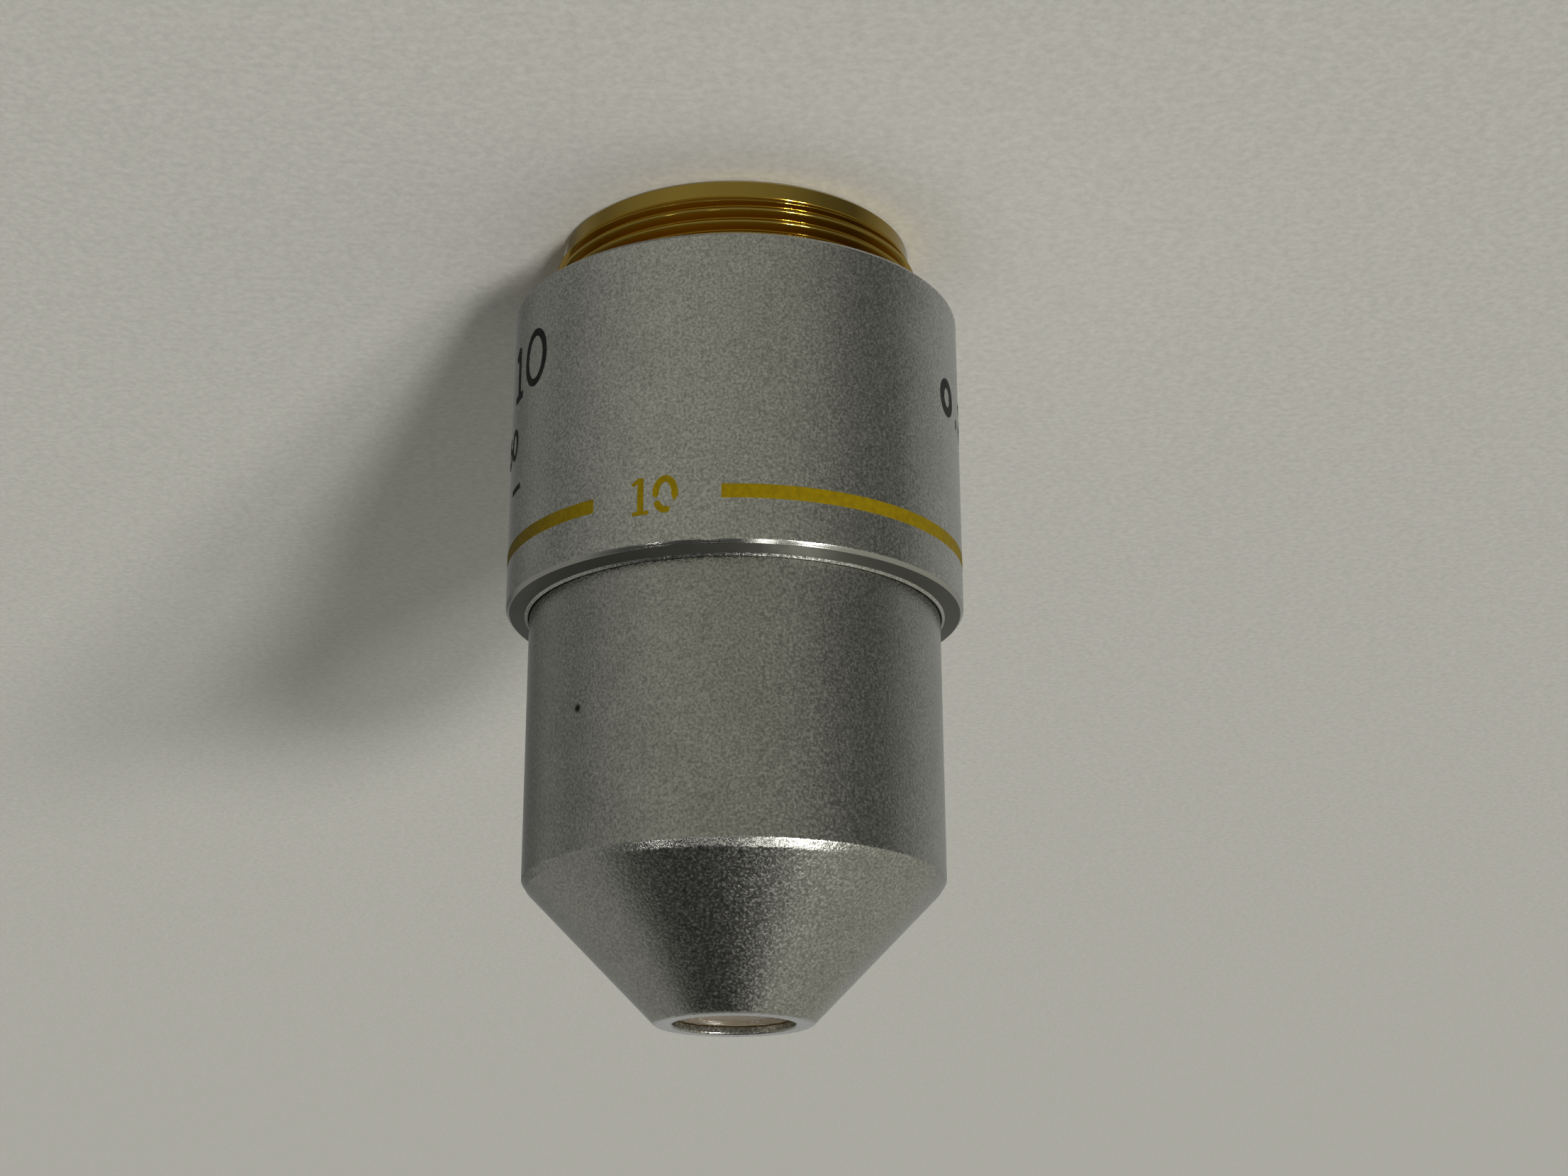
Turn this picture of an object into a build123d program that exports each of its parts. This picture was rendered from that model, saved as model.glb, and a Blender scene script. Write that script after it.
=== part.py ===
"""Ten-power plan achromat microscope objective, 160 mm tube length, 45 mm parfocal distance.

Z is the optical axis. The mounting shoulder lies at Z = 0, the thread hangs below it and the front
lens points up. Lengths are millimetres. A depth is measured down the axis from the nose face.
"""

import os
from math import copysign, sqrt
from typing import NamedTuple

from build123d import *

# Driving dimensions of the mounting thread
thread_radius = 10.16  # objective thread, 0.8 inch across, 36 turns to the inch
thread_run = 2.8
thread_lead_in = 0.3  # bevel where the thread starts
relief_depth = 0.56  # undercut between the thread and the shoulder
relief_run = 0.5
pilot_drop = 0.41  # the plain end is smaller, and finds the hole before the thread bites
pilot_run = 1.1
pilot_bevel = 0.22

# Driving dimensions of the outer sleeve
shoulder_width = 2.19  # the sleeve stands this far outside the thread
sleeve_wall = 1.2
sleeve_lip = 1.0  # thickness of the inward lip that seats on the hub
sleeve_cylinder_front = 16.9  # height where the front edge breaks
sleeve_edge_bevel = 0.16
sleeve_edge_bevel_run = 0.2
sleeve_face_rise = 0.18  # the front face is slightly coned
sleeve_rim = 0.16  # a fine raised rim closes the face round the barrel
sleeve_rim_bevel = 0.11
sleeve_rim_rise = 0.12
sleeve_rear_bevel = 0.25
spigot_step = 0.09  # the spigot that centres the lip stands this far outside the thread
spigot_recess = 0.1  # and this far behind the shoulder

# Driving dimensions of the painted colour band in its groove
band_setback = 2.15  # from the band to the sleeve's front edge
band_width = 0.76
band_depth = 0.12
band_gap_start = 3.4  # degrees from -Y towards +X
band_gap_end = 35.7

# Driving dimensions of the front barrel
nose_height = 39.0
barrel_gap = 0.06  # free gap inside the sleeve
barrel_wall = 2.19
barrel_skirt_wall = 1.47  # thinner where it screws on the mount body's skirt
barrel_hub_gap = 0.15  # lets the barrel clamp the lens tube before it meets the hub
barrel_edge_bevel = 0.27
barrel_edge_bevel_run = 0.42
cone_run = 6.93
cone_wall = 1.1
nose_wall = 0.28
nose_edge_round = 0.16
nose_lip = 0.4
aperture_margin = 0.13  # the aperture clears the front lens's polished surface by this much
aperture_bevel = 0.08

# Driving dimensions of the mount body's hub and skirt, and of the lens tube they hold
skirt_front = 15.0
skirt_run = 6.0
tube_gap = 0.6  # between the lens tube and the barrel
tube_wall = 1.1
tube_guide = 10.0  # reach of the lens tube into the mount body
tube_lip = 1.1  # inward lip that the front cell's flange seats on
tube_step_gap = 0.8  # from the tube's rear end to the step in the mount body
flange_gap = 0.2
flange_run = 1.5
shim_run = 0.3  # sets the parfocal distance
lock_ring_run = 1.5
lock_ring_wall = 1.18

# Driving dimensions of the rear baffle
baffle_wall = 1.35  # mount body round the baffle
baffle_ledge = 0.6  # step that the baffle seats on
baffle_overhang = 1.6  # reach of the baffle into the bore
baffle_run = 1.0
baffle_recess = 1.4
baffle_bevel = 0.6

# Driving dimensions of the lens cells
cell_gap = 0.05  # air between the front cell and the nose lip
cell_nose_wall = 0.43
cell_nose_gap = 0.05
cell_cone_gap = 0.3  # between the front cell's cone and the barrel's
cell_body_wall = 0.83
cell_lip_gap = 0.1
cell_lip = 1.0
lens_recess = 0.02  # front lens rim below the front cell's rim
lens_rim = 0.25  # flat rim round the front lens's polished surface
retainer_run = 0.9
retainer_step = 0.4  # a retainer's thread stands this far outside its lens
retainer_margin = 0.15  # cell rim beyond the retainer
spacer_wall = 1.48
stop_run = 0.3
slot_width = 0.8  # spanner slots in the screwed rings
slot_depth = 0.4

fit = 0.02  # radial clearance of every screwed or sliding fit


class LensGroup(NamedTuple):
    """A lens or a cemented doublet, with its sizes listed from the nose backwards."""

    curves: tuple  # radii of curvature, positive where the centre lies behind the surface
    runs: tuple  # centre thicknesses
    edge: float  # edge radius
    seat: float  # radius left clear by the seat in front
    clear: float  # radius left clear by what bears on the rear

    def scaled(self, factor):
        """The same group for a tube of another bore."""
        curves = tuple(factor * curve for curve in self.curves)
        runs = tuple(factor * run for run in self.runs)
        return LensGroup(curves, runs, factor * self.edge, factor * self.seat, factor * self.clear)


class LensDesign(NamedTuple):
    """The whole lens train, drawn for one bore of the lens tube."""

    bore: float  # bore radius of the lens tube
    groups: tuple
    airs: tuple  # air between the groups
    stop: float  # radius of the aperture stop, which sets the numerical aperture of 0.25


lens_design = LensDesign(
    bore=7.2,
    groups=(
        LensGroup((-9.0, 14.51), (2.8,), 3.3, 3.05, 3.0),
        LensGroup((27.89, -8.65, -7.75), (3.2, 1.2), 4.9, 3.0, 4.3),
        LensGroup((38.79, 17.34, -14.54), (1.2, 3.4), 5.5, 4.9, 5.0),
        LensGroup((20.41, -13.49, 28.56), (2.6, 1.4), 5.4, 4.9, 4.95),
    ),
    airs=(1.12, 1.42, 3.06),
    stop=4.75,
)

# Radii, from the thread outwards to the sleeve and from there inwards to the cells
pilot_radius = thread_radius - pilot_drop
relief_radius = thread_radius - relief_depth
spigot_radius = thread_radius + spigot_step
baffle_outer_radius = pilot_radius - baffle_wall
rear_bore_radius = baffle_outer_radius - baffle_ledge
baffle_radius = rear_bore_radius - baffle_overhang
sleeve_radius = thread_radius + shoulder_width
sleeve_bore_radius = sleeve_radius - sleeve_wall
hub_radius = sleeve_bore_radius - fit
barrel_radius = sleeve_bore_radius - barrel_gap
skirt_radius = barrel_radius - barrel_skirt_wall - fit
flange_radius = skirt_radius - flange_gap
barrel_bore_radius = barrel_radius - barrel_wall
tube_radius = barrel_bore_radius - tube_gap
tube_bore_radius = tube_radius - tube_wall
cell_radius = tube_bore_radius - fit
lock_ring_radius = cell_radius - lock_ring_wall
spacer_radius = cell_radius - spacer_wall

# The lenses fill the tube, and the nose closes round the front lens
lens_scale = tube_bore_radius / lens_design.bore
groups = tuple(group.scaled(lens_scale) for group in lens_design.groups)
front_single, front_pair, middle_pair, rear_pair = groups
front_air, middle_air, rear_air = (lens_scale * air for air in lens_design.airs)
stop_radius = lens_scale * lens_design.stop
polished_radius = front_single.edge - lens_rim
aperture_radius = polished_radius + aperture_margin
cell_nose_radius = front_single.edge + fit + cell_nose_wall
cell_body_radius = front_pair.edge + fit + cell_body_wall
nose_bore_radius = cell_nose_radius + cell_nose_gap
nose_radius = nose_bore_radius + nose_wall


def height(depth):
    """Height of a point on the axis, from its depth behind the nose face."""
    return nose_height - depth


def sag(curve, radius):
    """How far a spherical surface falls behind its vertex at a radius."""
    return curve - copysign(sqrt(curve**2 - radius**2), curve)


def seat_depth(group, vertex):
    """Depth of the flat seat that a group's front surface rests on."""
    return vertex + min(sag(group.curves[0], group.seat), sag(group.curves[0], group.edge))


def rear_depth(group, vertex):
    """Depth of a group's last vertex."""
    return vertex + sum(group.runs)


def clamp_depth(group, vertex):
    """Depth of the flat face that bears on a group's rear surface."""
    reach = max(sag(group.curves[-1], group.clear), sag(group.curves[-1], group.edge))
    return rear_depth(group, vertex) + reach


# Stations along the axis, each a depth behind the nose face
cell_front = nose_lip + cell_gap
front_vertex = cell_front + lens_recess - sag(front_single.curves[0], polished_radius)
front_pair_vertex = rear_depth(front_single, front_vertex) + front_air
middle_vertex = rear_depth(front_pair, front_pair_vertex) + middle_air
rear_vertex = rear_depth(middle_pair, middle_vertex) + rear_air

# Seats, clamp faces and cell ends follow from the lens surfaces
rib_front = clamp_depth(front_single, front_vertex)
rib_rear = seat_depth(front_pair, front_pair_vertex)
front_clamp = clamp_depth(front_pair, front_pair_vertex)
front_cell_rear = front_clamp + retainer_run + retainer_margin
middle_seat = seat_depth(middle_pair, middle_vertex)
middle_clamp = clamp_depth(middle_pair, middle_vertex)
middle_cell_front = middle_seat - cell_lip
middle_cell_rear = middle_clamp + retainer_run + retainer_margin
stop_rear = middle_cell_rear + stop_run
rear_seat = seat_depth(rear_pair, rear_vertex)
rear_clamp = clamp_depth(rear_pair, rear_vertex)
rear_cell_front = rear_seat - cell_lip
rear_cell_rear = rear_clamp + retainer_run + retainer_margin
lock_ring_rear = rear_cell_rear + lock_ring_run

# The barrel's outer cone, and the inner cone that runs parallel to it
cone_rear = height(cone_run)
cone_rear_radius = barrel_radius - barrel_edge_bevel
barrel_edge = cone_rear - barrel_edge_bevel_run
cone_slope = (cone_rear_radius - nose_radius) / cone_run
cone_wall_across = cone_wall * sqrt(1 + cone_slope**2)


def inner_cone_depth(radius):
    """Depth where the barrel's inner cone has this radius."""
    return (radius + cone_wall_across - nose_radius) / cone_slope


# Heights and depths that several pieces share
thread_rear = -relief_run - thread_run
mount_rear = thread_rear - pilot_run
baffle_rear = mount_rear + baffle_recess
baffle_front = baffle_rear + baffle_run
hub_front = skirt_front - skirt_run
flange_rear = skirt_front + shim_run
flange_front = flange_rear + flange_run
tube_rear = skirt_front - tube_guide
tube_front_depth = inner_cone_depth(tube_radius + cell_cone_gap)
front_seat_depth = tube_front_depth + tube_lip
sleeve_face_front = sleeve_cylinder_front + sleeve_edge_bevel_run + sleeve_face_rise
sleeve_front = sleeve_face_front + sleeve_rim_rise
band_rear = sleeve_cylinder_front - band_setback - band_width


def ring(outer_radius, inner_radius, low, high):
    """A plain flat ring between two heights."""
    with BuildPart() as piece:
        with BuildSketch(Plane.XY.offset(low)):
            Circle(outer_radius)
            Circle(inner_radius, mode=Mode.SUBTRACT)
        extrude(amount=high - low)
    return piece


def screwed_ring(outer_radius, inner_radius, front_depth, run):
    """A screwed ring behind a depth, with two spanner slots across its rear face."""
    rear = height(front_depth + run)
    with BuildPart() as piece:
        with BuildSketch(Plane.XY.offset(rear)):
            Circle(outer_radius)
            Circle(inner_radius, mode=Mode.SUBTRACT)
        extrude(amount=run)
        with BuildSketch(Plane.XY.offset(rear)):
            Rectangle(4 * outer_radius, slot_width)
        extrude(amount=slot_depth, mode=Mode.SUBTRACT)
    return piece


def lens(curves, vertex, run, edge_radius, front_radius):
    """A spherical lens. Its front surface ends at the front radius, in a flat rim out to the edge."""
    rear = vertex + run

    def surface(curve, at_vertex, radius):
        return radius, height(at_vertex + sag(curve, radius))

    front_rim = surface(curves[0], vertex, front_radius)
    front_edge = (edge_radius, front_rim[1])
    rear_edge = surface(curves[1], rear, edge_radius)
    with BuildPart() as piece:
        with BuildSketch(Plane.XZ):
            with BuildLine():
                ThreePointArc(
                    (0, height(vertex)), surface(curves[0], vertex, front_radius / 2), front_rim
                )
                if front_radius < edge_radius:
                    Line(front_rim, front_edge)
                Line(front_edge, rear_edge)
                ThreePointArc(
                    rear_edge, surface(curves[1], rear, edge_radius / 2), (0, height(rear))
                )
                Line((0, height(rear)), (0, height(vertex)))
            make_face()
        revolve(axis=Axis.Z)
    return piece


def cell(group, front, seat, clamp, rear):
    """A brass lens cell: an inward lip in front, the lens bore, and a wider bore for the retainer."""
    retainer_bore = group.edge + retainer_step + fit
    with BuildPart() as piece:
        with BuildSketch(Plane.XZ):
            with BuildLine():
                Polyline(
                    (group.seat, height(front)),
                    (cell_radius, height(front)),
                    (cell_radius, height(rear)),
                    (retainer_bore, height(rear)),
                    (retainer_bore, height(clamp - retainer_margin)),
                    (group.edge + fit, height(clamp - retainer_margin)),
                    (group.edge + fit, height(seat)),
                    (group.seat, height(seat)),
                    close=True,
                )
            make_face()
        revolve(axis=Axis.Z)
    return piece


def finish(piece, name):
    """Labels a finished piece and writes its file."""
    piece.part.label = name
    export_step(piece.part, f"parts/{name}.step")


os.makedirs("parts", exist_ok=True)

# Mount body: thread, shoulder spigot, hub and skirt, turned from one brass bar
with BuildPart() as mount_body:
    with BuildSketch(Plane.XZ):
        with BuildLine():
            Polyline(
                (baffle_outer_radius + fit, mount_rear),
                (pilot_radius, mount_rear),
                (pilot_radius, thread_rear),
                (thread_radius, thread_rear),
                (thread_radius, -relief_run),
                (relief_radius, -relief_run),
                (relief_radius, spigot_recess),
                (spigot_radius, spigot_recess),
                (spigot_radius, sleeve_lip),
                (hub_radius, sleeve_lip),
                (hub_radius, hub_front),
                (skirt_radius, hub_front),
                (skirt_radius, skirt_front),
                (tube_radius + fit, skirt_front),
                (tube_radius + fit, tube_rear - tube_step_gap),
                (rear_bore_radius, tube_rear - tube_step_gap),
                (rear_bore_radius, baffle_front),
                (baffle_outer_radius + fit, baffle_front),
                close=True,
            )
        make_face()
    revolve(axis=Axis.Z)
    rear_edges = mount_body.edges().filter_by(GeomType.CIRCLE).group_by(Axis.Z)[0]
    chamfer(rear_edges.sort_by(SortBy.RADIUS)[-1], pilot_bevel)
    start_edges = mount_body.edges().filter_by(GeomType.CIRCLE)
    start_edges = start_edges.filter_by_position(Axis.Z, thread_rear, thread_rear)
    chamfer(start_edges.sort_by(SortBy.RADIUS)[-1], thread_lead_in)
finish(mount_body, "mount_body")

# Outer sleeve: its rear lip is the mounting shoulder, and its coned front face overhangs the barrel
with BuildPart() as outer_sleeve:
    with BuildSketch(Plane.XZ):
        with BuildLine():
            Polyline(
                (spigot_radius + fit, 0),
                (sleeve_radius, 0),
                (sleeve_radius, sleeve_cylinder_front),
                (sleeve_radius - sleeve_edge_bevel, sleeve_cylinder_front + sleeve_edge_bevel_run),
                (sleeve_bore_radius + sleeve_rim, sleeve_face_front),
                (sleeve_bore_radius + sleeve_rim - sleeve_rim_bevel, sleeve_front),
                (sleeve_bore_radius, sleeve_front),
                (sleeve_bore_radius, sleeve_lip),
                (spigot_radius + fit, sleeve_lip),
                close=True,
            )
        make_face()
    revolve(axis=Axis.Z)
    shoulder_edges = outer_sleeve.edges().filter_by(GeomType.CIRCLE).group_by(Axis.Z)[0]
    chamfer(shoulder_edges.sort_by(SortBy.RADIUS)[-1], sleeve_rear_bevel)

# Colour band: paint that fills an engraved groove, with a gap where the power is marked
band_plane = Plane.XZ.rotated((0, 0, band_gap_end - 90))
with BuildPart() as colour_band:
    with BuildSketch(band_plane):
        with Locations((sleeve_radius - band_depth, band_rear)):
            Rectangle(band_depth, band_width, align=(Align.MIN, Align.MIN))
    revolve(axis=Axis.Z, revolution_arc=360 - (band_gap_end - band_gap_start))
finish(colour_band, "colour_band")

with outer_sleeve:
    add(colour_band.part, mode=Mode.SUBTRACT)
finish(outer_sleeve, "outer_sleeve")

# Front barrel: screwed on the skirt, it clamps the lens tube's flange and covers the cells
with BuildPart() as front_barrel:
    with BuildSketch(Plane.XZ):
        with BuildLine():
            Polyline(
                (skirt_radius + fit, hub_front + barrel_hub_gap),
                (barrel_radius, hub_front + barrel_hub_gap),
                (barrel_radius, barrel_edge),
                (cone_rear_radius, cone_rear),
                (nose_radius, nose_height),
                (aperture_radius, nose_height),
                (aperture_radius, height(nose_lip)),
                (nose_bore_radius, height(nose_lip)),
                (nose_bore_radius, height(inner_cone_depth(nose_bore_radius))),
                (barrel_bore_radius, height(inner_cone_depth(barrel_bore_radius))),
                (barrel_bore_radius, flange_front),
                (skirt_radius + fit, flange_front),
                close=True,
            )
        make_face()
    revolve(axis=Axis.Z)
    nose_edges = front_barrel.edges().filter_by(GeomType.CIRCLE).group_by(Axis.Z)[-1]
    fillet(nose_edges.sort_by(SortBy.RADIUS)[-1], nose_edge_round)
    nose_edges = front_barrel.edges().filter_by(GeomType.CIRCLE).group_by(Axis.Z)[-1]
    chamfer(nose_edges.sort_by(SortBy.RADIUS)[0], aperture_bevel)
finish(front_barrel, "front_barrel")

# Lens tube: carries the stack of cells, with a flange between the skirt and the front barrel
with BuildPart() as lens_tube:
    with BuildSketch(Plane.XZ):
        with BuildLine():
            Polyline(
                (tube_bore_radius, tube_rear),
                (tube_radius, tube_rear),
                (tube_radius, flange_rear),
                (flange_radius, flange_rear),
                (flange_radius, flange_front),
                (tube_radius, flange_front),
                (tube_radius, height(tube_front_depth)),
                (cell_body_radius + cell_lip_gap, height(tube_front_depth)),
                (cell_body_radius + cell_lip_gap, height(front_seat_depth)),
                (tube_bore_radius, height(front_seat_depth)),
                close=True,
            )
        make_face()
    revolve(axis=Axis.Z)
finish(lens_tube, "lens_tube")

parfocal_shim = ring(flange_radius, tube_radius + fit, skirt_front, flange_rear)
finish(parfocal_shim, "parfocal_shim")

# Front cell: a tapered brass nose that holds the front lens and the front doublet back to back
front_retainer_bore = front_pair.edge + retainer_step + fit
with BuildPart() as front_cell:
    with BuildSketch(Plane.XZ):
        with BuildLine():
            Polyline(
                (front_single.edge + fit, height(cell_front)),
                (cell_nose_radius, height(cell_front)),
                (cell_nose_radius, height(inner_cone_depth(cell_nose_radius + cell_cone_gap))),
                (cell_body_radius, height(inner_cone_depth(cell_body_radius + cell_cone_gap))),
                (cell_body_radius, height(front_seat_depth)),
                (cell_radius, height(front_seat_depth)),
                (cell_radius, height(front_cell_rear)),
                (front_retainer_bore, height(front_cell_rear)),
                (front_retainer_bore, height(front_clamp - retainer_margin)),
                (front_pair.edge + fit, height(front_clamp - retainer_margin)),
                (front_pair.edge + fit, height(rib_rear)),
                (front_pair.seat, height(rib_rear)),
                (front_pair.seat, height(rib_front)),
                (front_single.edge + fit, height(rib_front)),
                close=True,
            )
        make_face()
    revolve(axis=Axis.Z)
finish(front_cell, "front_cell")

front_lens = lens(
    front_single.curves, front_vertex, front_single.runs[0], front_single.edge, polished_radius
)
finish(front_lens, "front_lens")

# Middle and rear cells, and the rings that space and lock the stack
middle_cell = cell(middle_pair, middle_cell_front, middle_seat, middle_clamp, middle_cell_rear)
finish(middle_cell, "middle_cell")

rear_cell = cell(rear_pair, rear_cell_front, rear_seat, rear_clamp, rear_cell_rear)
finish(rear_cell, "rear_cell")

front_spacer = ring(cell_radius, spacer_radius, height(middle_cell_front), height(front_cell_rear))
finish(front_spacer, "front_spacer")

aperture_stop = ring(cell_radius, stop_radius, height(stop_rear), height(middle_cell_rear))
finish(aperture_stop, "aperture_stop")

rear_spacer = ring(cell_radius, spacer_radius, height(rear_cell_front), height(stop_rear))
finish(rear_spacer, "rear_spacer")

lock_ring = screwed_ring(cell_radius, lock_ring_radius, rear_cell_rear, lock_ring_run)
finish(lock_ring, "lock_ring")

# Doublets, each cemented from a crown and a flint, with the screwed ring that keeps it in its cell
doublets = (
    ("front", ("crown", "flint"), front_pair, front_pair_vertex),
    ("middle", ("flint", "crown"), middle_pair, middle_vertex),
    ("rear", ("crown", "flint"), rear_pair, rear_vertex),
)
for place, glasses, group, first_vertex in doublets:
    joint = first_vertex + group.runs[0]
    for glass, curves, vertex, run in zip(
        glasses, (group.curves[:2], group.curves[1:]), (first_vertex, joint), group.runs
    ):
        finish(lens(curves, vertex, run, group.edge, group.edge), f"{place}_doublet_{glass}")
    retainer = screwed_ring(
        group.edge + retainer_step, group.clear, clamp_depth(group, first_vertex), retainer_run
    )
    finish(retainer, f"{place}_retainer")

# Rear baffle: a blackened ring that keeps stray light out of the microscope tube
with BuildPart() as rear_baffle:
    with BuildSketch(Plane.XY.offset(baffle_rear)):
        Circle(baffle_outer_radius)
        Circle(baffle_radius, mode=Mode.SUBTRACT)
    extrude(amount=baffle_run)
    hole_edges = rear_baffle.edges().filter_by(GeomType.CIRCLE).group_by(Axis.Z)[0]
    chamfer(hole_edges.sort_by(SortBy.RADIUS)[0], baffle_bevel)
finish(rear_baffle, "rear_baffle")
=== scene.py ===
# %% [markdown]
# # A ten-power microscope objective
# The objective stands on its threaded end with the front lens up. The solids come from the part's own
# CAD model in metres, and this lesson dresses them: turned metal with true edges, a cut thread, coated
# glass, painted marks, and the light of a plain room. Sizes are read from the frame where it has them.

# %% Load the frame
from math import asin, cos, degrees, pi, radians, sin, sqrt, tan

import bmesh
import bpy
from mathutils import Matrix, Vector


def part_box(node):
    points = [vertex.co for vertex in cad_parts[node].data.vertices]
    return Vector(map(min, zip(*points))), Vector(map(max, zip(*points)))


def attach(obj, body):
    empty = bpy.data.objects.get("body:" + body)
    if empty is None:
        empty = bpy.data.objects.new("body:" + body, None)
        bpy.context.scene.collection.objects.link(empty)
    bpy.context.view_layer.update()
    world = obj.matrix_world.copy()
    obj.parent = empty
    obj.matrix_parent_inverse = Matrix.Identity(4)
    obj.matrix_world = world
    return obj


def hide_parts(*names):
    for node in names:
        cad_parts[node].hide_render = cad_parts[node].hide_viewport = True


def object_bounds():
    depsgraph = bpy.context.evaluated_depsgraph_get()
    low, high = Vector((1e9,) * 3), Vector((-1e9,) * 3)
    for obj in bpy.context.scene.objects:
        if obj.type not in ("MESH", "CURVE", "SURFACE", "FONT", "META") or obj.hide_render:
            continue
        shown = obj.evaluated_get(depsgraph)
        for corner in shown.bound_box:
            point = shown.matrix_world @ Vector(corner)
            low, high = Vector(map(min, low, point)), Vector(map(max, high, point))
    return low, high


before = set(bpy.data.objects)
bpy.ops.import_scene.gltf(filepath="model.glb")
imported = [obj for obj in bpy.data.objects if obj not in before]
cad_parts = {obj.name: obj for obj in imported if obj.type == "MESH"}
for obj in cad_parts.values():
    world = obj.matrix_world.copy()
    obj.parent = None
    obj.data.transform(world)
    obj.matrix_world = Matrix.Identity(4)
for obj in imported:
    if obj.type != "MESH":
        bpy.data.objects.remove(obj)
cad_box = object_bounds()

MM = 0.001
scene = bpy.context.scene
scene.view_settings.view_transform = "Standard"


def size_of(name):
    """A CAD node's outer radius, lowest point and highest point, in millimetres."""
    low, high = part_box(name)
    return high.x / MM, low.z / MM, high.z / MM


print("CAD nodes:", len(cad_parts), "box:", [[round(x / MM, 2) for x in corner] for corner in cad_box])

# %% [markdown]
# ## The camera
# The picture is taken from a hand's breadth away, a little above the nose, with the camera turned upside
# down, so the nose hangs at the bottom of the frame. A camera could be aimed with a constraint, but its
# place and its three axes are known from the circles in the picture, so they go straight into its matrix.

# %% Place the camera
FOCAL, SENSOR = 56.26, 36.0  # in mm
NEAREST = 5 * MM
eye = Vector((0.2986, -126.194, 58.179)) * MM
right = Vector((-0.99975, -0.02211, 0.00383))
up = Vector((0.00349, -0.32169, -0.94684))
back = right.cross(up)
camera_data = bpy.data.cameras.new("camera")
camera_data.lens = FOCAL
camera_data.sensor_width = SENSOR
camera_data.clip_start = NEAREST
camera = bpy.data.objects.new("camera", camera_data)
camera.matrix_world = Matrix.Translation(eye) @ Matrix((right, up, back)).transposed().to_4x4()
scene.collection.objects.link(camera)
scene.camera = camera
print("camera looks down by", round(degrees(asin(back.z)), 1), "degrees")

# %% [markdown]
# ## Colours and nodes
# Colours are written as sRGB hex values, as a colour picker gives them, and one function turns them to the
# linear values that shaders use. A second function adds a node with its settings and its links, so that a
# material reads as a short list of nodes. The others start a material, set a colour ramp, do a sum and mix
# two colours.


# %% Colour and node helpers
def linear(code):
    """The linear colour of a hex code, by the sRGB standard's curve."""
    channels = [int(code[i : i + 2], 16) / 255 for i in (1, 3, 5)]
    return [c / 12.92 if c <= 0.04045 else ((c + 0.055) / 1.055) ** 2.4 for c in channels] + [1.0]


def node(tree, kind, inputs=None, **settings):
    """A new node. An input is a value or a link from another node."""
    made = tree.nodes.new(kind)
    for name, value in settings.items():
        setattr(made, name, value)
    for key, value in (inputs or {}).items():
        if isinstance(value, bpy.types.NodeSocket):
            tree.links.new(value, made.inputs[key])
        else:
            made.inputs[key].default_value = value
    return made


def new_material(name):
    """A material with its tree, its shader and the place of a point on the piece."""
    material = bpy.data.materials.new(name)
    material.use_nodes = True
    tree = material.node_tree
    return material, tree, tree.nodes["Principled BSDF"], node(tree, "ShaderNodeTexCoord").outputs["Object"]


def set_tones(ramp, low, deep, high, pale):
    """A colour ramp's two ends: where each one lies and its colour."""
    for stop, position, code in zip(ramp.color_ramp.elements, (low, high), (deep, pale)):
        stop.position = position
        stop.color = linear(code)


def calculate(tree, operation, *values):
    """The result of a sum on up to three values or links."""
    return node(tree, "ShaderNodeMath", dict(enumerate(values)), operation=operation).outputs[0]


def mixed(tree, factor, start, end):
    """The start colour where the factor is nought, and the end colour where it is one."""
    ends = {"Factor": factor, "A": start, "B": end}
    return node(tree, "ShaderNodeMix", ends, data_type="RGBA").outputs[2]


print("middle grey is", [round(c, 3) for c in linear("#808080")])

# %% [markdown]
# ## The floor
# A sheet of plain uncoated paper. Its fibres give a faint mottle and a soft tooth, which one noise draws
# with octaves from half a millimetre down to a thirtieth. The metal is lit by the room and not by this
# sheet, so the sheet stays out of its reflections.

# %% Paper floor
CLOUD, NAP = 0.5 * MM, 0.03 * MM  # width of the mottle's widest spots, and height of the tooth
paper, tree, shader, place = new_material("uncoated_paper_calendered")
felt = {"Vector": place, "Scale": 1 / CLOUD, "Detail": 4.0, "Roughness": 0.75}
fibres = node(tree, "ShaderNodeTexNoise", felt)
tone = node(tree, "ShaderNodeValToRGB", {"Fac": fibres.outputs["Fac"]})
set_tones(tone, 0.34, "#D6D5CF", 0.66, "#E8E7E1")
nap = {"Height": fibres.outputs["Fac"], "Distance": NAP, "Strength": 0.4}
relief = node(tree, "ShaderNodeBump", nap)
tree.links.new(tone.outputs["Color"], shader.inputs["Base Color"])
tree.links.new(relief.outputs["Normal"], shader.inputs["Normal"])
shader.inputs["Roughness"].default_value = 0.9

SHEET = 6.0  # half the sheet's side in metres, so that its edge stays out of view
floor_z = cad_box[0][2]
corners = [(x * SHEET, y * SHEET, floor_z) for x, y in ((-1, -1), (1, -1), (1, 1), (-1, 1))]
floor_mesh = bpy.data.meshes.new("floor")
floor_mesh.from_pydata(corners, [], [(0, 1, 2, 3)])
floor_mesh.materials.append(paper)
floor = bpy.data.objects.new("floor", floor_mesh)
floor.visible_glossy = False
scene.collection.objects.link(floor)
print("floor at", round(floor_z / MM, 2), "mm")

# %% [markdown]
# ## The light
# A round chrome tube shows the room as upright stripes, so the room's walls matter more than the lamps. The
# world gives each compass direction its own grey, a little warmer in front of the object and darker at both
# sides. Higher up the room is plain, apart from a dark ceiling above the front and a pale wall behind.

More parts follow.
